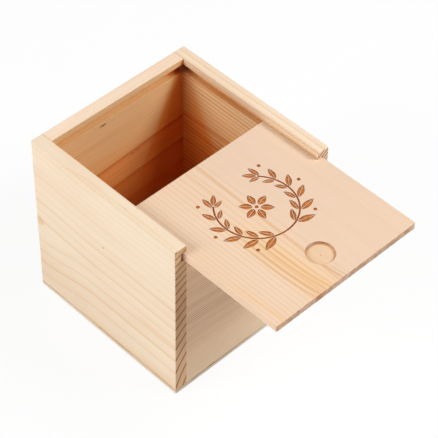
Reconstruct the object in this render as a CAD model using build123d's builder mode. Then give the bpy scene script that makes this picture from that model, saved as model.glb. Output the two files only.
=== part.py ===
"""A small pine keepsake box with a lid that slides out at the front.

Millimetres. +Z is up, X runs across the box and the lid leaves towards -Y.
The origin is the centre of the underside. Two side walls run the whole length
of the box and hold a back wall and a lower front wall between them. A thin
panel closes the bottom. The lid rides in a groove that runs round the inside
of the side walls and the back wall, just under their top edges.
"""

import os

from build123d import *

# Overall sizes
box_width = 120.0
box_length = 120.0
box_height = 121.5

# Boards
side_wall_thickness = 8.5
end_wall_thickness = 8.5
base_thickness = 3.0
lid_thickness = 4.8

# Lid groove: the wood left above it, and how deep it is cut into each wall
lip_height = 4.5
groove_depth = 4.0

# Play of the lid in its groove
play_below = 0.3
play_above = 0.7
play_behind = 0.3
play_beside = 0.3
play_across = 2.0

# How far the lid stands open
lid_pulled_out = 70.6

# Finger recess in the lid, cut with a flat-bottomed bit that leaves a centre mark
recess_diameter = 17.5
recess_depth = 1.6
recess_from_front = 20.5
centre_mark_diameter = 1.6
centre_mark_depth = 0.7

# Sanded edges: rounded outside corners, and arrises that are only just broken
corner_radius = 0.8
arris_radius = 0.3
base_edge_chamfer = 0.3
lid_edge_radius = 0.5
lid_corner_radius = 1.0

# The lid's lower edges are bevelled, so that it starts and runs easily in its groove
lid_lower_chamfer = 0.4

# Brads that hold the base panel
pin_diameter = 1.2
pin_length = 16.0
pin_point = 2.0
pin_head_diameter = 2.4
pin_head_thickness = 0.6
pin_sink = 0.2
pin_hole_gap = 0.05
side_pin_spacing = 84.0
end_pin_spacing = 52.0

# Worked out from the sizes above
half_width = box_width / 2
half_length = box_length / 2
inner_half_width = half_width - side_wall_thickness
inner_half_length = half_length - end_wall_thickness
groove_top = box_height - lip_height
groove_height = play_below + lid_thickness + play_above
groove_floor = groove_top - groove_height
lid_underside = groove_floor + play_below
lid_top = lid_underside + lid_thickness
wall_height = box_height - base_thickness
front_wall_height = groove_floor - base_thickness

# The lid lies against the right side of its groove. Shut, it ends level with the front.
lid_width = 2 * (inner_half_width + groove_depth) - play_across
lid_length = box_length - end_wall_thickness + groove_depth - play_behind
lid_centre_x = play_across / 2 - play_beside
lid_front = -half_length - lid_pulled_out

# Brads stand in the middle of each wall's thickness
side_pin_x = half_width - side_wall_thickness / 2
end_pin_y = half_length - end_wall_thickness / 2
left_pins = [(-side_pin_x, end * side_pin_spacing / 2) for end in (-1, 1)]
right_pins = [(side_pin_x, end * side_pin_spacing / 2) for end in (-1, 1)]
front_pins = [(side * end_pin_spacing / 2, -end_pin_y) for side in (-1, 1)]
back_pins = [(side * end_pin_spacing / 2, end_pin_y) for side in (-1, 1)]
pin_hole_radius = pin_diameter / 2 + pin_hole_gap
pin_seat_radius = pin_head_diameter / 2 + pin_hole_gap
pin_seat_depth = pin_sink + pin_head_thickness
pin_hole_depth = pin_sink + pin_length + pin_hole_gap - base_thickness


def facing_down(points, height):
    """A plane at each point, at this height, with its normal down, for drilling up."""
    return [Plane((x, y, height), z_dir=(0, 0, -1)) for x, y in points]


# Left wall: a grooved section, run the length of the box
with BuildPart() as left_wall:
    with BuildSketch(Plane.XZ):
        with Locations((-half_width, base_thickness)):
            Rectangle(side_wall_thickness, wall_height, align=(Align.MIN, Align.MIN))
        with Locations((-inner_half_width, groove_floor)):
            Rectangle(groove_depth, groove_height, align=(Align.MAX, Align.MIN), mode=Mode.SUBTRACT)
    extrude(amount=half_length, both=True)
    long_edges = left_wall.edges().filter_by(Axis.Y)
    outer_top = long_edges.group_by(Axis.X)[0].sort_by(Axis.Z)[-1]
    top_ends = left_wall.edges().filter_by(Axis.X).group_by(Axis.Z)[-1]
    upright_corners = left_wall.edges().filter_by(Axis.Z).group_by(Axis.X)[0]
    fillet(upright_corners + top_ends + [outer_top], corner_radius)
    foot_edges = left_wall.edges().group_by(Axis.Z)[0].sort_by(Axis.X)[:-1]
    fillet(foot_edges, arris_radius)
    lip_edges = left_wall.edges().filter_by(Axis.Y).group_by(Axis.X)[-1].sort_by(Axis.Z)[1:]
    fillet(lip_edges, arris_radius)
    with Locations(facing_down(left_pins, base_thickness)):
        Hole(pin_hole_radius, depth=pin_hole_depth)

# Right wall: the left one's mirror image
with BuildPart() as right_wall:
    mirror(left_wall.part, about=Plane.YZ)

# Back wall: the same grooved section, between the side walls
with BuildPart() as back_wall:
    with BuildSketch(Plane.YZ):
        with Locations((half_length, base_thickness)):
            Rectangle(end_wall_thickness, wall_height, align=(Align.MAX, Align.MIN))
        with Locations((inner_half_length, groove_floor)):
            Rectangle(groove_depth, groove_height, align=(Align.MIN, Align.MIN), mode=Mode.SUBTRACT)
    extrude(amount=inner_half_width, both=True)
    outer_edges = back_wall.edges().filter_by(Axis.X).group_by(Axis.Y)[-1].sort_by(Axis.Z)
    fillet(outer_edges[-1], corner_radius)
    fillet(outer_edges[0], arris_radius)
    lip_edges = back_wall.edges().filter_by(Axis.X).group_by(Axis.Y)[0].sort_by(Axis.Z)[1:]
    fillet(lip_edges, arris_radius)
    with Locations(facing_down(back_pins, base_thickness)):
        Hole(pin_hole_radius, depth=pin_hole_depth)

# Front wall: stops at the groove's floor, so that the lid passes over it
with BuildPart() as front_wall:
    with BuildSketch(Plane.YZ):
        with Locations((-half_length, base_thickness)):
            Rectangle(end_wall_thickness, front_wall_height, align=(Align.MIN, Align.MIN))
    extrude(amount=inner_half_width, both=True)
    top_edges = front_wall.edges().filter_by(Axis.X).group_by(Axis.Z)[-1]
    foot_edge = front_wall.edges().filter_by(Axis.X).group_by(Axis.Y)[0].sort_by(Axis.Z)[0]
    fillet(top_edges + [foot_edge], arris_radius)
    with Locations(facing_down(front_pins, base_thickness)):
        Hole(pin_hole_radius, depth=pin_hole_depth)

# Base panel, with a seat for each brad's head
with BuildPart() as base_panel:
    with BuildSketch():
        Rectangle(box_width, box_length)
    extrude(amount=base_thickness)
    fillet(base_panel.edges().filter_by(Axis.Z), corner_radius)
    chamfer(base_panel.edges().group_by(Axis.Z)[0], base_edge_chamfer)
    chamfer(base_panel.edges().group_by(Axis.Z)[-1], base_edge_chamfer)
    with Locations(facing_down(left_pins + right_pins + front_pins + back_pins, 0)):
        CounterBoreHole(pin_hole_radius, pin_seat_radius, pin_seat_depth, depth=base_thickness)

# One brad, turned about its own axis, and then one at each place
with BuildPart() as pin:
    with BuildSketch(Plane.XZ):
        with BuildLine():
            Polyline(
                (0, pin_sink),
                (pin_head_diameter / 2, pin_sink),
                (pin_head_diameter / 2, pin_sink + pin_head_thickness),
                (pin_diameter / 2, pin_sink + pin_head_thickness),
                (pin_diameter / 2, pin_sink + pin_length - pin_point),
                (0, pin_sink + pin_length),
                close=True,
            )
        make_face()
    revolve(axis=Axis.Z)

with BuildPart() as base_pins:
    with Locations([(x, y, 0) for x, y in left_pins + right_pins + front_pins + back_pins]):
        add(pin.part)

# Lid: a thin board with a finger recess near its front edge
with BuildPart() as lid:
    with BuildSketch(Plane.XY.offset(lid_underside)):
        with Locations((lid_centre_x, lid_front)):
            Rectangle(lid_width, lid_length, align=(Align.CENTER, Align.MIN))
    extrude(amount=lid_thickness)
    fillet(lid.edges().filter_by(Axis.Z), lid_corner_radius)
    chamfer(lid.edges().group_by(Axis.Z)[0], lid_lower_chamfer)
    fillet(lid.edges().group_by(Axis.Z)[-1], lid_edge_radius)
    with Locations((lid_centre_x, lid_front + recess_from_front, lid_top)):
        Hole(recess_diameter / 2, depth=recess_depth)
    with BuildSketch(Plane.XY.offset(lid_top - recess_depth)):
        with Locations((lid_centre_x, lid_front + recess_from_front)):
            Circle(centre_mark_diameter / 2)
    extrude(amount=-centre_mark_depth, taper=45, mode=Mode.SUBTRACT)

pieces = {
    "left_wall": left_wall,
    "right_wall": right_wall,
    "back_wall": back_wall,
    "front_wall": front_wall,
    "base_panel": base_panel,
    "base_pins": base_pins,
    "lid": lid,
}
os.makedirs("parts", exist_ok=True)
for name, piece in pieces.items():
    piece.part.label = name
    export_step(piece.part, f"parts/{name}.step")
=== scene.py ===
import math

import bmesh
import bpy
from mathutils import Matrix, Vector


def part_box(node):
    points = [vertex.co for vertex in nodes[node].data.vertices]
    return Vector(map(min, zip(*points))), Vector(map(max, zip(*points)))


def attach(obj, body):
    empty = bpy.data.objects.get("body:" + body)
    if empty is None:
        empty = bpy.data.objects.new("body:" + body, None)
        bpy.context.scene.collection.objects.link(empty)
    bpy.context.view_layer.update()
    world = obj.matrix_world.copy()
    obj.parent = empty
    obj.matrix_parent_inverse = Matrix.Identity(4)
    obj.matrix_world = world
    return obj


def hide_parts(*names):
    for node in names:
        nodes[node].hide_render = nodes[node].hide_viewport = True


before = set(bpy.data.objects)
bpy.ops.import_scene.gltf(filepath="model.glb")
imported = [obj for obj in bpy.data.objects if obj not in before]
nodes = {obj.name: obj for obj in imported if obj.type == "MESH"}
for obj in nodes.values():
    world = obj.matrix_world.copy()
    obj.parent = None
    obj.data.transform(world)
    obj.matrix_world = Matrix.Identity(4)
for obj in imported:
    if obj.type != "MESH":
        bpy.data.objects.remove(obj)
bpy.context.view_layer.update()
mm = 0.001
nearEnough = 1e-6  # for places that ought to be the same
print("stage 1: frame loaded")


class Wire:  # a node's output, which takes part in ordinary sums
    def __init__(self, shader, socket):
        self.shader = shader
        self.socket = socket

    def maths(self, operation, *values):
        return self.shader.node("Math", {"operation": operation}, dict(enumerate(values)))

    def __add__(self, other):
        return self.maths("ADD", self, other)

    def __radd__(self, other):
        return self.maths("ADD", other, self)

    def __sub__(self, other):
        return self.maths("SUBTRACT", self, other)

    def __rsub__(self, other):
        return self.maths("SUBTRACT", other, self)

    def __mul__(self, other):
        return self.maths("MULTIPLY", self, other)

    def __rmul__(self, other):
        return self.maths("MULTIPLY", other, self)

    def __truediv__(self, other):
        return self.maths("DIVIDE", self, other)

    def __rtruediv__(self, other):
        return self.maths("DIVIDE", other, self)

    def __neg__(self):
        return self.maths("MULTIPLY", self, -1.0)

    def __abs__(self):
        return self.maths("ABSOLUTE", self)

    def floor(self):
        return self.maths("FLOOR", self)

    def fraction(self):
        return self.maths("FRACT", self)

    def exp(self):
        return self.maths("EXPONENT", self)

    def root(self):
        return self.maths("SQRT", self)

    def least(self, other):
        return self.maths("MINIMUM", self, other)

    def most(self, other):
        return self.maths("MAXIMUM", self, other)

    def rise(self, start, end):  # 0 at start and 1 at end, with soft ends, whichever of them is larger
        return self.shader.node("MapRange", {"interpolation_type": "SMOOTHSTEP"},
                                {"Value": self, "From Min": start, "From Max": end})

    def hump(self, width):  # 1 at zero, falling away to both sides
        share = self / width
        return (-(share * share)).exp()


class Shader:  # the nodes of one material or world
    def __init__(self, owner):
        owner.use_nodes = True
        self.tree = owner.node_tree
        self.tree.nodes.clear()

    def node(self, kind, settings, inputs, output=0):
        made = self.tree.nodes.new("ShaderNode" + kind)
        for key, value in settings.items():
            setattr(made, key, value)
        for key, value in inputs.items():
            if isinstance(value, Wire):
                self.tree.links.new(value.socket, made.inputs[key])
            else:
                made.inputs[key].default_value = value
        return Wire(self, made.outputs[output]) if made.outputs else None

    def parts(self, vector):
        return [self.node("SeparateXYZ", {}, {0: vector}, axis) for axis in range(3)]

    def place(self):  # object coordinates in millimetres
        at = self.node("TexCoord", {}, {}, "Object")
        return self.parts(self.node("VectorMath", {"operation": "SCALE"}, {0: at, "Scale": 1 / mm}))

    def facing(self):
        return self.parts(self.node("TexCoord", {}, {}, "Normal"))

    def noise(self, x, y, z, detail=2.0, roughness=0.5):
        at = self.node("CombineXYZ", {}, {0: x, 1: y, 2: z})
        return self.node("TexNoise", {},
                         {"Vector": at, "Scale": 1.0, "Detail": detail, "Roughness": roughness})

    def mix(self, amount, first, second, blend="MIX"):
        return self.node("Mix", {"data_type": "RGBA", "blend_type": blend},
                         {"Factor": amount, 6: first, 7: second}, 2)

    def bump(self, height, distance, strength=0.5):
        return self.node("Bump", {}, {"Strength": strength, "Distance": distance, "Height": height})

    def surface(self, **inputs):
        named = {key.replace("_", " "): value for key, value in inputs.items()}
        shown = self.node("BsdfPrincipled", {}, named)
        self.node("OutputMaterial", {}, {"Surface": shown})

    def seen(self):  # 1 for what the camera sees, straight on or in a reflection or through glass
        straight, mirrored, through = (self.node("LightPath", {}, {}, ray) for ray in
                                       ("Is Camera Ray", "Is Glossy Ray", "Is Transmission Ray"))
        return straight.most(mirrored).most(through)


def rgb(red, green, blue):  # a colour as it looks on a screen, 0 to 255
    shares = [c / 255 for c in (red, green, blue)]
    return (*(c / 12.92 if c < 0.04 else ((c + 0.055) / 1.055) ** 2.4 for c in shares), 1.0)


ringValues = {  # sizes in mm, the rest in shares of a year's growth
    "wanderSize": 45, "rippleSize": 6, "rippleLength": 40, "darkens": (0.35, 0.95), "darkShare": 0.3,
    "lineFull": 0.95, "lineEnds": (0.965, 1.0), "faintYear": 0.45,
}


def growthRings(s, board, place, along, acrossA, acrossB):  # rings round the pith: their age, and how dark
    v, seed = ringValues, board["seed"]
    size = v["wanderSize"]
    wander = s.noise(acrossA / size + seed, acrossB / size, along / board["wanderLength"]) - 0.5
    size = v["rippleSize"]
    ripple = s.noise(acrossA / size + seed, acrossB / size, along / v["rippleLength"]) - 0.5
    fromPithA = acrossA - board["pith"][0] - along * board["lean"][0]
    fromPithB = acrossB - board["pith"][1] - along * board["lean"][1]
    rings = (fromPithA * fromPithA + fromPithB * fromPithB).root() / board["ringWidth"] + board["phase"]
    if "crowd" in board:  # they lie closer together beyond a height
        rings = rings + (acrossB - board["crowd"][0]).most(0.0) * board["crowd"][1]
    rings = rings + wander * board["wander"] + ripple * board["ripple"]
    age = rings.fraction()
    year = s.node("TexWhiteNoise", {"noise_dimensions": "1D"}, {"W": rings.floor() + seed})
    line = age.rise(board["lineStart"], v["lineFull"])
    late = age.rise(*v["darkens"]) * v["darkShare"] + line * (1 - v["darkShare"])
    late = late * (1 - age.rise(*v["lineEnds"])) * (v["faintYear"] + year * (1 - v["faintYear"]))
    if "calm" in board:  # the part of the board where the rings hardly show
        calm = board["calm"]
        late = late * (1 - place[calm["on"]].rise(*calm["over"]) * calm["by"])
    return age, late


def streakMask(along, across, streak):  # a line, either even or with one sharp edge and one that fades
    offset = across - streak["at"] - along * streak.get("lean", 0.0)
    if "sweep" in streak:  # bends aside beyond a place along the board
        start, bend = streak["sweep"]
        beyond = (start - along).most(0.0)
        offset = offset - beyond * beyond * bend
    if "edge" in streak:
        offset = offset * streak["edge"]
        mask = offset.rise(0.0, streak["sharp"]) * (offset.most(0.0) / -streak["width"]).exp()
    else:
        mask = offset.hump(streak["width"])
    if "start" in streak:
        mask = mask * along.rise(streak["start"], streak["full"])
    return mask * streak["strength"]


def speckMask(along, height, inner, speck):  # a small spot, longer along the grain
    length, thickness = speck["size"]
    spot = (along - speck["along"]).hump(length) * (height - speck["height"]).hump(thickness)
    if "hidden" in speck:  # only on the inside
        spot = spot * inner
    return (spot * grainValues["speckFirmness"]).least(speck["depth"])


def insideMask(place, board):  # 1 on the inside faces, 0 on the outside and the rim
    if "inside" not in board:
        return 0.0
    inside = board["inside"]
    inner = ((place[inside["axis"]] - inside["at"]) * inside["side"]).rise(0.0, inside["soft"])
    return inner * (1 - place["z"].rise(*inside["rim"]))


# the inside's warmer tone, with painted shade and bounce colour deepening low down and towards the far
# corner
amberAndShadeValues = {
    "colour": rgb(255, 217, 112), "deep": rgb(255, 178, 92), "least": 0.52, "heights": (30.0, 114.0),
    "corner": (44.6, 55.6), "cornerLean": 0.41, "soft": 0.5, "rim": (120.7, 121.3),
}


def amberAndShadeTone(s, place, inside, inner, tone):  # partly a warmer raw-wood tone, partly painted shade and bounce colour: deeper low down and towards the far corner, where the right wall's shadow falls on the back wall
    v = amberAndShadeValues
    corner = place["x"] + place["y"] - place["z"] * v["cornerLean"]
    level = place["z"] - corner.rise(*v["corner"]) * inside["corner"]
    high = level.rise(*v["heights"])
    amberAndShade = s.mix(high, v["deep"], inside["colour"])
    return s.mix(inner * (1 - high * (1 - inside["least"])), tone, amberAndShade, "MULTIPLY")


def boreRubAndShade(s, place, bore, tone):  # the round wall: a brown ring, partly rubbed by the drill and partly painted shade, with painted shade darker on its far side; the floor of the cut is tinted
    fromX, fromY = place["x"] - bore["at"][0], place["y"] - bore["at"][1]
    fromMiddle = (fromX * fromX + fromY * fromY).root()
    cutAway = place["z"].rise(*bore["above"]) * (1 - place["z"].rise(*bore["below"]))
    floor = (1 - fromMiddle.rise(*bore["floorEdge"])) * cutAway
    tone = s.mix(floor * bore["floorStrength"], tone, bore["floor"])
    rubAndShade = (fromMiddle - bore["radius"]).hump(bore["width"]) * cutAway
    tone = s.mix(rubAndShade * bore["strength"], tone, bore["colour"])
    side = (fromX * bore["turn"] + fromY).rise(*bore["side"])
    return s.mix(rubAndShade * side * bore["farWallShade"], tone, bore["burnAndShade"])


endValues = {
    "facing": (0.55, 0.85), "poreFineness": 3.4, "poresShow": (0.42, 0.72), "poreDepth": 0.30,
    "mottleSize": 4, "mottleShows": (0.42, 0.68), "lineFull": 0.93, "lineEnds": (0.96, 1.0),
}


def endGrain(s, board, place, acrossA, acrossB, age, cloud, pores):  # thin dark rings and pores on tan
    v = endValues
    tone = s.mix(cloud, board["end"], board["endWarm"])
    if "endFootLight" in board:  # painted light: paler towards the foot, where the lid's shadow on the end grain thins out
        foot = board["endFootLight"]
        tone = s.mix(place["z"].rise(*foot["over"]), tone, foot["colour"])
    mottle = s.noise(acrossA / v["mottleSize"] + board["seed"], acrossB / v["mottleSize"], 0.0)
    tone = s.mix(mottle.rise(*v["mottleShows"]) * board["mottle"], tone, board["mottleColour"])
    for patch in board["endPatches"]:
        spot = (acrossA - patch["at"]).hump(patch["width"])
        tone = s.mix(spot * patch["strength"], tone, patch["colour"])
    tone = s.mix(pores.rise(*v["poresShow"]) * v["poreDepth"], tone, board["endLate"])
    line = age.rise(board["endLine"], v["lineFull"]) * (1 - age.rise(*v["lineEnds"]))
    return s.mix(line * board["endContrast"], tone, board["endLate"])


def jointMask(s, board, place):  # glue and dust where the walls stand on it, more in places
    joint = board["joint"]
    patches = s.noise(place["x"] / joint["patchSize"] + board["seed"], place["y"] / joint["patchSize"], 0.0)
    share = patches.rise(*joint["patchesShow"]) * (1 - joint["least"]) + joint["least"]
    return place["z"].rise(*joint["over"]) * share * joint["strength"]


edgeValues = {"scuffSize": 3, "over": (0.5, 1.7)}


def handledEdges(s, board, place):  # from the middle one of the distances to the three pairs of sides
    v = edgeValues
    low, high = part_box(board["node"])
    depth = []
    for i, axis in enumerate("xyz"):
        middle, half = (low[i] + high[i]) / 2 / mm, (high[i] - low[i]) / 2 / mm
        depth.append(half - abs(place[axis] - middle))
    nearest = depth[0].least(depth[1]).least(depth[2])
    farthest = depth[0].most(depth[1]).most(depth[2])
    edge = depth[0] + depth[1] + depth[2] - nearest - farthest
    x, y, z = (place[axis] / v["scuffSize"] for axis in "xyz")
    return 1 - (edge + s.noise(x + board["seed"], y, z)).rise(*v["over"])


grainValues = {
    "fibreFineness": 2.8, "fibreLength": 16, "fibresFrom": 0.58, "fibreSoftness": 0.35,
    "streakWidth": 1.3, "streakLength": 80, "streaksShow": (0.40, 0.75),
    "cloudWidth": 20, "cloudLength": 70, "cloudsShow": (0.3, 0.7),
    "canalFineness": 1.7, "canalLength": 5, "canalsShow": (0.735, 0.80), "speckFirmness": 1.6,
    "rough": 0.50, "fibreRough": 0.16, "endRough": 0.2, "lineGloss": 0.08, "specular": 0.30,
    "relief": 0.12 * mm, "fibreRelief": 0.35, "lineRelief": 0.25, "poreRelief": 1.2,
}


def pine(name, board):
    material = bpy.data.materials.new(name)
    s = Shader(material)
    v, seed = grainValues, board["seed"]
    place = dict(zip("xyz", s.place()))
    normal = dict(zip("xyz", s.facing()))
    along, acrossA, acrossB = (place[axis] for axis in board["axes"])
    for bend in board["bends"]:  # the rings spread apart where they pass a knot
        apart = bend["below"] + acrossB.rise(*bend["across"]) * (bend["above"] - bend["below"])
        acrossB = acrossB + along.rise(*bend["along"]) * apart
    age, late = growthRings(s, board, place, along, acrossA, acrossB)
    inner = insideMask(place, board)

    # fibres, resin canals and slow changes of tone
    fine = v["fibreFineness"]
    fibre = s.noise(acrossA * fine + seed, acrossB * fine, along / v["fibreLength"],
                    detail=3.0, roughness=0.65)
    wide = v["streakWidth"]
    streaks = s.noise(acrossA / wide + seed, acrossB / wide, along / v["streakLength"], roughness=0.6)
    wide = v["cloudWidth"]
    cloud = s.noise(acrossA / wide + seed, acrossB / wide, along / v["cloudLength"]).rise(*v["cloudsShow"])
    fine = v["canalFineness"]
    canals = s.noise(acrossA * fine, acrossB * fine + seed, along / v["canalLength"], detail=1.0)
    tone = s.mix(cloud, board["early"], board["warm"])
    tone = s.mix(streaks.rise(*v["streaksShow"]) * board["streaks"], tone, board["streakColour"])
    for streak in board["bands"]:
        tone = s.mix(streakMask(along, place[streak["on"]], streak), tone, streak["colour"])
    tone = s.mix(late * (inner * board["innerContrast"] + board["contrast"]), tone, board["late"])
    thin = (v["fibresFrom"] - fibre).rise(0.0, v["fibreSoftness"])
    tone = s.mix(thin * board["fibres"], tone, board["late"])
    tone = s.mix(canals.rise(*v["canalsShow"]) * board["canals"], tone, board["canal"])
    for speck in board["specks"]:
        tone = s.mix(speckMask(along, place["z"], inner, speck), tone, speck.get("colour", board["canal"]))
    if "bore" in board:
        tone = boreRubAndShade(s, place, board["bore"], tone)
    if "inside" in board:
        tone = amberAndShadeTone(s, place, board["inside"], inner, tone)

    # the sawn ends, what sticks in the joint, and the edges that hands have touched
    cut = abs(normal[board["axes"][0]]).rise(*endValues["facing"])
    fine = endValues["poreFineness"]
    pores = s.noise(acrossA * fine, acrossB * fine + seed, 0.0, detail=3.0, roughness=0.7)
    tone = s.mix(cut, tone, endGrain(s, board, place, acrossA, acrossB, age, cloud, pores))
    if "joint" in board:
        tone = s.mix(jointMask(s, board, place), tone, board["joint"]["colour"])
    worn = handledEdges(s, board, place) * (1 - cut)
    tone = s.mix(worn * board["wear"], tone, board["edgeColour"])

    rough = v["rough"] + fibre * v["fibreRough"] + cut * v["endRough"] - late * v["lineGloss"]
    height = fibre * v["fibreRelief"] + late * v["lineRelief"] + pores * cut * v["poreRelief"]
    s.surface(Base_Color=tone, Roughness=rough, Specular_IOR_Level=v["specular"],
              Normal=s.bump(height, v["relief"]))
    return material


def insideAmberAndShade(axis, at, side, **changes):  # begins at this place on this axis, towards this side
    v = amberAndShadeValues
    return {"axis": axis, "at": at, "side": side, "soft": v["soft"], "rim": v["rim"],
            "colour": v["colour"], "least": v["least"], "corner": 0.0, **changes}


def faceLine(at, width, strength, colour, **changes):  # on an upright face, at this height in its middle
    return {"on": "z", "at": at, "width": width, "strength": strength, "colour": colour, **changes}


def lidLine(at, width, strength, start, full, **changes):  # begins at start and shows in full at full
    return {"on": "x", "at": at, "width": width, "strength": strength, "start": start, "full": full,
            "sweep": (-98.0, 0.0022), "colour": yellowLine, **changes}


def grooveEndShade(along, length):  # painted shade in the end of the lid's groove, which the lip keeps dark
    return {"along": along, "height": 113.9, "size": (length, 2.4), "depth": 0.9,
            "colour": rgb(176, 66, 30), "hidden": True}


# painted shade: a thin darker strip along the floor of the lid's groove, under the lip
grooveFloorShade = {
    "along": 0.0, "height": 111.2, "size": (400.0, 0.3), "depth": 0.5, "colour": rgb(204, 160, 112),
    "hidden": True,
}
grainOrange = rgb(240, 158, 74)
grainBrown = rgb(216, 132, 54)
grainLine = rgb(182, 88, 36)
grainFaint = rgb(214, 160, 120)
yellowLine = rgb(214, 160, 100)
backLean = 0.072  # how far the back wall's bands climb for each mm towards the right wall
unfading = 900.0  # the width of a band that runs on to its board's edge

commonPine = {
    "early": rgb(244, 223, 196), "warm": rgb(242, 217, 188), "late": rgb(214, 176, 130),
    "streakColour": rgb(232, 200, 162), "edgeColour": rgb(233, 198, 156), "canal": rgb(150, 104, 66),
    "end": rgb(214, 172, 130), "endWarm": rgb(198, 152, 108), "endLate": rgb(104, 68, 44),
    "contrast": 0.55, "innerContrast": 0.0, "streaks": 0.18, "fibres": 0.16, "lineStart": 0.80,
    "endLine": 0.70, "endContrast": 0.85, "mottle": 0.0, "mottleColour": rgb(166, 122, 94),
    "lean": (0.0, 0.0), "phase": 0.0, "wander": 0.5, "ripple": 0.07, "wanderLength": 160, "wear": 0.3,
    "canals": 0.4, "bends": [], "specks": [], "bands": [], "endPatches": [],
}
leftBoard = {
    **commonPine, "node": "left_wall", "axes": "yxz", "seed": 3.0, "pith": (13.8, -21.6),
    "ringWidth": -5.92, "phase": 0.13, "crowd": (93.0, -0.042), "wander": 0.12, "ripple": 0.05,
    "early": rgb(241, 222, 197), "warm": rgb(238, 215, 188), "late": rgb(220, 176, 116),
    "contrast": 0.66, "endLine": 0.66, "wear": 0.25, "inside": insideAmberAndShade("x", -56.2, 1),
    # painted light: the front end grain paler towards the foot
    "endFootLight": {"over": (46.0, 30.0), "colour": rgb(222, 181, 142)},
    "bends": [{"along": (8.0, 60.0), "across": (40.0, 60.0), "below": 8.0, "above": -2.5}],
    "calm": {"on": "z", "over": (70.0, 100.0), "by": 0.5},
    "bands": [faceLine(42.3, 1.2, 0.35, rgb(230, 186, 132), start=-24.0, full=-36.0)],
    "specks": [
        {"along": 0.0, "height": 78.7, "size": (0.5, 0.4), "depth": 0.7},
        {"along": 57.5, "height": 58.0, "size": (3.0, 2.5), "depth": 0.5, "colour": rgb(226, 176, 116)},
        grooveEndShade(-60.0, 12.0),
    ],
}
rightBoard = {
    **commonPine, "node": "right_wall", "axes": "yxz", "seed": 11.0, "pith": (227.0, -131.0),
    "ringWidth": 2.5, "lineStart": 0.55, "contrast": 0.5, "innerContrast": 0.45, "wander": 0.9,
    "ripple": 0.12, "late": rgb(198, 130, 62), "endLine": 0.5, "endContrast": 1.0,
    "end": rgb(232, 204, 174), "endWarm": rgb(226, 194, 160), "endLate": rgb(122, 76, 50),
    # the inside: a warmer tone with painted shade, deepest low down and towards the back corner
    "inside": insideAmberAndShade("x", 56.2, -1, rim=(115.5, 120.5), colour=rgb(255, 214, 112), least=0.42,
                        corner=32.0),
    "bands": [
        faceLine(112.0, 1.0, 0.6, rgb(236, 156, 78), lean=-0.045),
        faceLine(79.8, 1.2, 0.6, grainBrown, lean=-0.046),
        faceLine(65.1, 1.5, 0.5, rgb(222, 144, 66), lean=0.104),
    ],
    "specks": [grooveEndShade(52.0, 7.0), grooveFloorShade],
}
backBoard = {
    **commonPine, "node": "back_wall", "axes": "xyz", "seed": 7.0, "pith": (40.0, -330.0),
    "ringWidth": 20.7, "phase": 0.36, "contrast": 0.25, "wander": 0.25, "streaks": 0.4,
    # the inside: a warmer tone with painted shade, deepest low down and towards the right corner
    "early": rgb(246, 222, 198), "warm": rgb(244, 214, 188), "inside": insideAmberAndShade("y", 56.2, -1, corner=70.0),
    "bands": [
        faceLine(73.5, 14.0, 0.65, grainOrange, lean=backLean, edge=-1, sharp=0.7),
        faceLine(73.5, 1.8, 0.85, grainLine, lean=backLean, edge=-1, sharp=0.6),
        faceLine(54.0, 12.0, 0.65, grainOrange, lean=backLean, edge=-1, sharp=0.7),
        faceLine(54.0, 1.5, 0.7, grainLine, lean=backLean, edge=-1, sharp=0.6),
        faceLine(64.0, 0.7, 0.5, grainOrange, lean=backLean),
        faceLine(60.5, 0.5, 0.4, grainOrange, lean=backLean),
        faceLine(36.0, 7.0, 0.7, grainOrange, lean=backLean, edge=-1, sharp=0.7),
        faceLine(99.0, 0.5, 0.25, grainFaint, lean=0.06),
        faceLine(96.6, 0.4, 0.25, grainFaint, lean=0.06),
    ],
    "specks": [
        {"along": -12.9, "height": 108.6, "size": (2.0, 0.45), "depth": 1.0, "colour": rgb(110, 76, 46)},
        {"along": 9.5, "height": 71.0, "size": (1.2, 0.5), "depth": 0.5},
        {"along": 13.5, "height": 71.6, "size": (0.9, 0.5), "depth": 0.5},
        grooveEndShade(52.0, 7.0),
        grooveFloorShade,
    ],
}
frontBoard = {
    **commonPine, "node": "front_wall", "axes": "xyz", "seed": 19.0, "pith": (-160.0, -110.0),
    "ringWidth": 1.44, "lean": (0.0, -0.10), "lineStart": 0.2, "contrast": 0.8,
    "early": rgb(227, 204, 174), "warm": rgb(221, 194, 162), "late": rgb(176, 108, 62),
    "calm": {"on": "z", "over": (41.0, 10.0), "by": 1.0},
    "inside": insideAmberAndShade("y", -56.2, 1, rim=(110.6, 111.15)),
    "bands": [faceLine(10.0, unfading, 0.9, rgb(232, 200, 166), edge=1, sharp=31.0)],
    "specks": [
        {"along": -31.5, "height": 3.3, "size": (2.2, 0.5), "depth": 0.85, "colour": rgb(84, 60, 40)},
    ],
}
baseBoard = {
    **commonPine, "node": "base_panel", "axes": "xyz", "seed": 23.0, "pith": (10.0, -60.0),
    "ringWidth": 3.8, "contrast": 0.3, "endContrast": 0.2, "wear": 0.0, "canals": 0.1,
    "early": rgb(220, 205, 186), "warm": rgb(215, 198, 178), "late": rgb(200, 178, 152),
    "end": rgb(238, 220, 198), "endWarm": rgb(234, 213, 190), "endLate": rgb(206, 168, 126),
    "joint": {"over": (2.45, 2.7), "strength": 0.9, "least": 0.45, "colour": rgb(112, 84, 62),
              "patchSize": 13, "patchesShow": (0.40, 0.62)},
    "inside": insideAmberAndShade("z", 2.9, 1, soft=0.05, rim=(3.5, 4.0)),
}


def paint(node, material):
    for slot in nodes[node].material_slots:
        slot.material = material


wireValues = {"dark": rgb(150, 150, 152), "bright": rgb(190, 190, 192), "scratchFineness": 6, "rough": 0.25}


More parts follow.
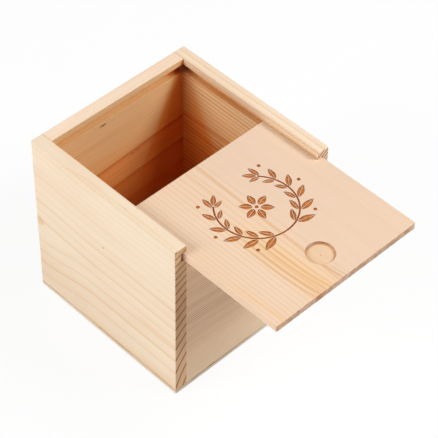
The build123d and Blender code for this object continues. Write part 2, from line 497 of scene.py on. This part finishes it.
def brushedWire(name):
    material = bpy.data.materials.new(name)
    s = Shader(material)
    v = wireValues
    x, y, z = (axis * v["scratchFineness"] for axis in s.place())
    scratch = s.noise(x, y, z, detail=3.0, roughness=0.7)
    s.surface(Base_Color=s.mix(scratch, v["dark"], v["bright"]), Metallic=1.0,
              Roughness=v["rough"] + scratch * v["rough"])
    return material


for name, board in (("leftWallPine", leftBoard), ("rightWallPine", rightBoard), ("backWallPine", backBoard),
                    ("frontWallPine", frontBoard), ("basePine", baseBoard)):
    paint(board["node"], pine(name, board))
paint("base_pins", brushedWire("pinWire"))
print("stage 2: boards finished")

recessValues = {
    "fromFront": 20.5 * mm, "radius": 8.5 * mm, "depth": 1.6 * mm, "rimRadius": 0.25 * mm, "rimWaist": 0.3,
    "coveRadius": 1.3 * mm, "coveSteps": 6, "markRadius": 0.9 * mm, "markDepth": 0.7 * mm, "steps": 96,
}


def recessCentre():  # seen from above
    low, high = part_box("lid")
    return (low.x + high.x) / 2, low.y + recessValues["fromFront"]


brownLine = rgb(190, 140, 92)
lidBoard = {
    **commonPine, "node": "lid", "axes": "yxz", "seed": 31.0, "pith": (33.2, 31.8), "ringWidth": 1.828,
    "phase": 0.42, "contrast": 0.5, "lineStart": 0.6, "streaks": 0.12, "wander": 0.15, "ripple": 0.05,
    "early": rgb(236, 207, 180), "warm": rgb(234, 202, 172), "late": rgb(216, 172, 132), "canals": 0.15,
    "end": rgb(218, 188, 162), "endWarm": rgb(202, 170, 142), "endLate": rgb(142, 100, 74),
    "endContrast": 0.6, "endLine": 0.6, "mottle": 0.7, "calm": {"on": "x", "over": (-2.0, 8.0), "by": 0.85},
    "endPatches": [
        {"at": -21.5, "width": 2.6, "strength": 0.8, "colour": rgb(186, 116, 76)},
        {"at": -50.0, "width": 3.0, "strength": 0.5, "colour": rgb(214, 168, 124)},
    ],
    "bore": {
        "at": [c / mm for c in recessCentre()], "above": (114.0, 114.4), "below": (115.9, 116.2),
        "floor": rgb(226, 190, 146), "floorEdge": (7.0, 8.6), "floorStrength": 0.5,
        "colour": rgb(206, 150, 94), "radius": 8.2, "width": 0.8, "strength": 0.75,
        # the dark colour below is painted shade on the far side of the recess wall
        "burnAndShade": rgb(150, 100, 56), "side": (1.0, 8.0), "turn": 0.3, "farWallShade": 0.8,
    },
    "bands": [
        # the lid's right part plainer and pinker: partly its own tone, partly painted shade that evens out
        # the key lamp's stronger light there
        {"on": "x", "at": -12.0, "edge": 1, "sharp": 24.0, "width": unfading, "strength": 0.8,
         "colour": rgb(229, 201, 176)},
        lidLine(-17.5, 8.5, 0.6, -50.0, -90.0, colour=rgb(240, 200, 146)),
        lidLine(-26.6, 0.7, 0.6, -66.0, -90.0),
        lidLine(-23.2, 0.9, 0.7, -60.0, -88.0),
        lidLine(-20.6, 0.5, 0.4, -76.0, -96.0),
        lidLine(-18.6, 0.7, 0.6, -56.0, -80.0),
        lidLine(-15.6, 0.7, 0.6, -70.0, -92.0),
        lidLine(-9.0, 0.5, 0.4, -80.0, -100.0, lean=0.03),
        lidLine(-5.6, 0.6, 0.55, -110.0, -120.0, colour=brownLine),
        lidLine(-3.2, 0.5, 0.4, -116.0, -124.0, colour=brownLine),
        lidLine(-49.5, 1.2, 0.5, -84.0, -112.0, colour=rgb(236, 190, 130)),
        lidLine(-10.7, 0.5, 0.45, -60.0, -30.0),
        {"on": "x", "at": -1.6, "lean": 0.032, "width": 0.9, "strength": 0.5, "colour": yellowLine},
        # painted light: a paler strip by the right lip, lightening the lip's shadow on the lid
        {"on": "x", "at": 48.3, "edge": 1, "sharp": 3.0, "width": unfading, "strength": 0.75,
         "start": -62.0, "full": -56.0, "colour": rgb(255, 222, 184)},
    ],
}
burnValues = {
    "charred": (rgb(168, 86, 32), rgb(130, 62, 20)), "scorched": (rgb(208, 130, 62), rgb(168, 94, 38)),
    "cloudSize": 2.2, "cloudsShow": (0.3, 0.7), "grainFineness": 2.4, "grainLength": 6,
    "grainShows": (0.45, 0.8), "grainDepth": 0.5, "rough": 0.85, "specular": 0.2, "relief": 0.1 * mm,
}


def burnAndShade(name, shallow, deep):
    material = bpy.data.materials.new(name)
    s = Shader(material)
    v = burnValues
    x, y, z = s.place()
    cloud = s.noise(x / v["cloudSize"], y / v["cloudSize"], z, detail=3.0, roughness=0.6)
    grain = s.noise(x * v["grainFineness"], y / v["grainLength"], z)
    tone = s.mix(cloud.rise(*v["cloudsShow"]), shallow, deep)
    tone = s.mix(grain.rise(*v["grainShows"]) * v["grainDepth"], tone, deep)
    s.surface(Base_Color=tone, Roughness=v["rough"], Specular_IOR_Level=v["specular"],
              Normal=s.bump(grain, v["relief"]))
    return material


lidPine = pine("lidPine", lidBoard)
charred = burnAndShade("charredEdge", *burnValues["charred"])
scorched = burnAndShade("scorchedFloor", *burnValues["scorched"])


def meshObject(name, bm, materials):
    mesh = bpy.data.meshes.new(name)
    bm.to_mesh(mesh)
    bm.free()
    made = bpy.data.objects.new(name, mesh)
    for material in materials:
        mesh.materials.append(material)
    bpy.context.scene.collection.objects.link(made)
    return made


lidValues = {"cornerRadius": 1.0 * mm, "edgeRadius": 0.5 * mm, "lowerChamfer": 0.4 * mm, "bevelSteps": 4}


def lidBody():
    low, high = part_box("lid")
    v = lidValues
    bm = bmesh.new()
    bmesh.ops.create_cube(bm, size=1.0)
    bmesh.ops.scale(bm, vec=high - low, verts=bm.verts)
    bmesh.ops.translate(bm, vec=(low + high) / 2, verts=bm.verts)
    upright = [e for e in bm.edges if abs(e.verts[0].co.z - e.verts[1].co.z) > mm]
    bmesh.ops.bevel(bm, geom=upright, offset=v["cornerRadius"], affect="EDGES", segments=v["bevelSteps"],
                    profile=0.5, material=-1)
    for level, size, steps in ((high.z, v["edgeRadius"], v["bevelSteps"]), (low.z, v["lowerChamfer"], 1)):
        ring = [e for e in bm.edges if all(abs(p.co.z - level) < nearEnough for p in e.verts)]
        bmesh.ops.bevel(bm, geom=ring, offset=size, affect="EDGES", segments=steps, profile=0.5, material=-1)
    bmesh.ops.recalc_face_normals(bm, faces=bm.faces)
    return bm


def recessCutter():  # a flat-bottomed bit with a centre point, whose rounded lips leave a cove
    v = recessValues
    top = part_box("lid")[1].z
    floor = top - v["depth"]
    r, rim, cove = v["radius"], v["rimRadius"], v["coveRadius"]
    waist = rim * v["rimWaist"]
    profile = [(0.0, floor - v["markDepth"]), (v["markRadius"], floor)]
    for i in range(v["coveSteps"] + 1):
        turn = math.pi / 2 * i / v["coveSteps"]
        profile.append((r - cove + cove * math.sin(turn), floor + cove - cove * math.cos(turn)))
    profile += [(r, top - rim), (r + waist, top - waist), (r + rim, top)]
    profile += [(r + rim, top + mm), (0.0, top + mm)]
    bm = bmesh.new()
    points = [bm.verts.new((radius, 0.0, height)) for radius, height in profile]
    line = [bm.edges.new(pair) for pair in zip(points, points[1:])]
    bmesh.ops.spin(bm, geom=points + line, cent=(0, 0, 0), axis=(0, 0, 1), dvec=(0, 0, 0),
                   angle=math.tau, steps=v["steps"], use_merge=True)
    bmesh.ops.remove_doubles(bm, verts=bm.verts, dist=nearEnough)
    bmesh.ops.translate(bm, vec=(*recessCentre(), 0.0), verts=bm.verts)
    bmesh.ops.recalc_face_normals(bm, faces=bm.faces)
    return meshObject("recessCutter", bm, [lidPine])


wreathValues = {
    "centre": (0.0, -62.0 * mm), "cutDepth": 0.25 * mm, "innerDepth": 0.32 * mm, "lift": 0.5 * mm,
    "radius": 24.0 * mm, "stemStart": -90.0, "stemEnd": 44.0, "stemWidth": 1.0 * mm, "stemSteps": 40,
    "leafPairs": 6, "firstPair": 0.9, "leafLength": 12.0 * mm, "leafWidth": 4.6 * mm, "leafLean": 36.0,
    "leafGap": 0.9 * mm, "innerReach": 0.80, "taper": 0.3, "tipSize": 0.7, "tipGap": 0.6 * mm,
    "veinWidth": 0.3 * mm, "belly": 0.85, "leafSteps": 20, "innerShrink": (0.92, 0.78),
    "berryRadius": 1.1 * mm, "berryShrink": 0.62, "berrySteps": 20, "berryAt": 32.5 * mm,
    "berryTurn": 0.02,
    "petals": 6, "petalFrom": 2.2 * mm, "petalLength": 8.0 * mm, "petalWidth": 4.4 * mm, "flowerTurn": 0.26,
}


def turned(angle):
    return Matrix.Rotation(angle, 4, "Z")


def moved(x, y=0.0):
    return Matrix.Translation((x, y, 0))


def leafHalf(bm, length, width, flank):  # half a leaf beside its vein, which runs along X
    v = wreathValues
    made = bmesh.ops.create_circle(bm, cap_ends=True, segments=v["leafSteps"], radius=1.0)["verts"]
    vein = v["veinWidth"] / 2
    for vert in made:
        share = (vert.co.x + 1) / 2
        belly = math.sin(math.pi * share ** v["belly"]) if vert.co.y > nearEnough else 0.0
        vert.co = Vector((share * length, flank * (vein + belly * (width / 2 - vein)), 0.0))
    return made


def leaf(bm, move, length, width, inner):  # both halves, placed; an inner outline is a little smaller
    for flank in (1, -1):
        made = leafHalf(bm, length, width, flank)
        if inner:
            middle = sum((vert.co for vert in made), Vector()) / len(made)
            bmesh.ops.translate(bm, vec=-middle, verts=made)
            bmesh.ops.scale(bm, vec=(*wreathValues["innerShrink"], 1.0), verts=made)
            bmesh.ops.translate(bm, vec=middle, verts=made)
        bmesh.ops.transform(bm, matrix=move, verts=made)


def berry(bm, spot, inner):
    v = wreathValues
    radius = v["berryRadius"] * (v["berryShrink"] if inner else 1.0)
    made = bmesh.ops.create_circle(bm, cap_ends=True, segments=v["berrySteps"], radius=radius)["verts"]
    bmesh.ops.translate(bm, vec=spot, verts=made)


def stem(bm, flip, start, end):  # an arc about the wreath's centre
    v = wreathValues
    half = v["stemWidth"] / 2
    before = set(bm.verts)
    ends = [bm.verts.new((v["radius"] + d, 0, 0)) for d in (-half, half)]
    edge = bm.edges.new(ends)
    bmesh.ops.rotate(bm, cent=(0, 0, 0), matrix=Matrix.Rotation(start, 3, "Z"), verts=ends)
    bmesh.ops.spin(bm, geom=ends + [edge], cent=(0, 0, 0), axis=(0, 0, 1), dvec=(0, 0, 0),
                   angle=end - start, steps=v["stemSteps"])
    bmesh.ops.transform(bm, matrix=flip, verts=[vert for vert in bm.verts if vert not in before])


def branch(bm, flip, inner):  # a stem with its pairs of leaves, its berries and the leaf at its tip
    v = wreathValues
    start, end = math.radians(v["stemStart"]), math.radians(v["stemEnd"])
    if not inner:
        stem(bm, flip, start, end)
    for i in range(v["leafPairs"]):
        share = (i + v["firstPair"]) / v["leafPairs"]
        spoke = flip @ turned(start + (end - start) * share)
        size = 1.0 - v["taper"] * share
        for outward, reach in ((1, 1.0), (-1, v["innerReach"])):
            lean = turned(math.radians(90 - outward * v["leafLean"]))
            leaf(bm, spoke @ moved(v["radius"] + outward * v["leafGap"]) @ lean,
                 v["leafLength"] * size * reach, v["leafWidth"] * size * reach, inner)
        if i % 2:
            berry(bm, spoke @ turned(v["berryTurn"]) @ Vector((v["berryAt"], 0, 0)), inner)
    tip = flip @ turned(end) @ moved(v["radius"], v["tipGap"]) @ turned(math.radians(90))
    leaf(bm, tip, v["leafLength"] * v["tipSize"], v["leafWidth"] * v["tipSize"], inner)


def wreathCutter(inner):  # two branches that bend round an open ring, with a small flower in the middle
    v = wreathValues
    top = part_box("lid")[1].z
    bm = bmesh.new()
    for side in (1, -1):
        branch(bm, Matrix.Scale(side, 4, (1, 0, 0)), inner)
    for i in range(v["petals"]):
        place = turned(math.tau * i / v["petals"] + v["flowerTurn"]) @ moved(v["petalFrom"])
        leaf(bm, place, v["petalLength"], v["petalWidth"], inner)
    berry(bm, Vector(), inner)
    sunk = bmesh.ops.extrude_face_region(bm, geom=list(bm.faces))["geom"]
    depth = v["lift"] + v["innerDepth" if inner else "cutDepth"]
    bmesh.ops.translate(bm, vec=(0, 0, -depth), verts=[g for g in sunk if isinstance(g, bmesh.types.BMVert)])
    bmesh.ops.translate(bm, vec=(*v["centre"], top + v["lift"]), verts=bm.verts)
    bmesh.ops.recalc_face_normals(bm, faces=bm.faces)
    return meshObject("wreathCutter", bm, [scorched if inner else charred])


def carve(piece, cutters):
    for cutter in cutters:
        cut = piece.modifiers.new("carve", "BOOLEAN")
        cut.operation = "DIFFERENCE"
        cut.solver = "EXACT"
        cut.use_self = True
        cut.material_mode = "TRANSFER"
        cut.object = cutter
    bpy.context.view_layer.update()
    finished = piece.evaluated_get(bpy.context.evaluated_depsgraph_get())
    carved = bpy.data.meshes.new_from_object(finished)
    piece.modifiers.clear()
    piece.data = carved
    for cutter in cutters:
        bpy.data.objects.remove(cutter)


lid = meshObject("lidBoard", lidBody(), [lidPine])
carve(lid, [recessCutter(), wreathCutter(False), wreathCutter(True)])
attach(lid, "lid")
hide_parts("lid")
print("stage 3: lid carved,", len(lid.data.polygons), "faces")

floorValues = {"size": 12.0, "glow": 0.9, "colour": rgb(250, 250, 250), "dust": rgb(246, 246, 246),
               "dustSize": 30}


def makeFloor():
    v = floorValues
    material = bpy.data.materials.new("floorPaint")
    s = Shader(material)
    x, y, z = s.place()
    dust = s.noise(x / v["dustSize"], y / v["dustSize"], z)
    plain = s.node("BsdfDiffuse", {}, {"Color": s.mix(dust, v["colour"], v["dust"])})
    glow = s.node("Emission", {}, {"Strength": 1.0})
    shown = s.node("MixShader", {}, {0: s.seen() * v["glow"], 1: plain, 2: glow})
    s.node("OutputMaterial", {}, {"Surface": shown})
    bm = bmesh.new()
    bmesh.ops.create_grid(bm, x_segments=1, y_segments=1, size=v["size"])
    meshObject("floor", bm, [material])


lightValues = {
    "sky": 0.15, "aim": (0.0, 0.0, 0.06),
    "lamps": [
        {"name": "keyLamp", "from": (0.66, -0.80, 1.11), "size": 0.7, "power": 17.0},
        {"name": "leftLamp", "from": (-1.20, 0.35, 0.80), "size": 0.8, "power": 13.5},
        {"name": "topLamp", "from": (0.10, 0.0, 1.60), "size": 1.6, "power": 1.6},
    ],
}


def makeLight():
    v = lightValues
    world = bpy.data.worlds.new("studio")
    bpy.context.scene.world = world
    s = Shader(world)
    white = rgb(255, 255, 255)
    dim = s.node("Background", {}, {"Color": white, "Strength": v["sky"]})
    bright = s.node("Background", {}, {"Color": white, "Strength": 1.0})
    s.node("OutputWorld", {}, {"Surface": s.node("MixShader", {}, {0: s.seen(), 1: dim, 2: bright})})
    for lamp in v["lamps"]:
        data = bpy.data.lights.new(lamp["name"], "AREA")
        data.shape = "DISK"
        data.size = lamp["size"]
        data.energy = lamp["power"]
        made = bpy.data.objects.new(lamp["name"], data)
        bpy.context.scene.collection.objects.link(made)
        made.location = lamp["from"]
        sight = Vector(v["aim"]) - Vector(lamp["from"])
        made.rotation_euler = sight.to_track_quat("-Z", "Y").to_euler()


cameraValues = {
    "azimuth": -44.656, "elevation": 46.278, "roll": 0.873, "at": (-0.5098, -0.5420, 0.8394),
    "lens": 149.437, "sensor": 36.0, "shiftX": 0.0188, "shiftY": -0.00479,
}


def makeCamera():
    v = cameraValues
    az, el, roll = (math.radians(v[key]) for key in ("azimuth", "elevation", "roll"))
    back = Vector((math.sin(az) * math.cos(el), -math.cos(az) * math.cos(el), math.sin(el)))
    right = Vector((0, 0, 1)).cross(back).normalized()
    turn = Matrix((right, back.cross(right), back)).transposed() @ Matrix.Rotation(roll, 3, "Z")
    data = bpy.data.cameras.new("camera")
    data.lens = v["lens"]
    data.sensor_width = v["sensor"]
    data.shift_x = v["shiftX"]
    data.shift_y = v["shiftY"]
    made = bpy.data.objects.new("camera", data)
    made.matrix_world = Matrix.Translation(v["at"]) @ turn.to_4x4()
    bpy.context.scene.collection.objects.link(made)
    bpy.context.scene.camera = made


makeFloor()
makeLight()
makeCamera()
bpy.context.scene.view_settings.view_transform = "Standard"
print("stage 4: floor, light and camera")
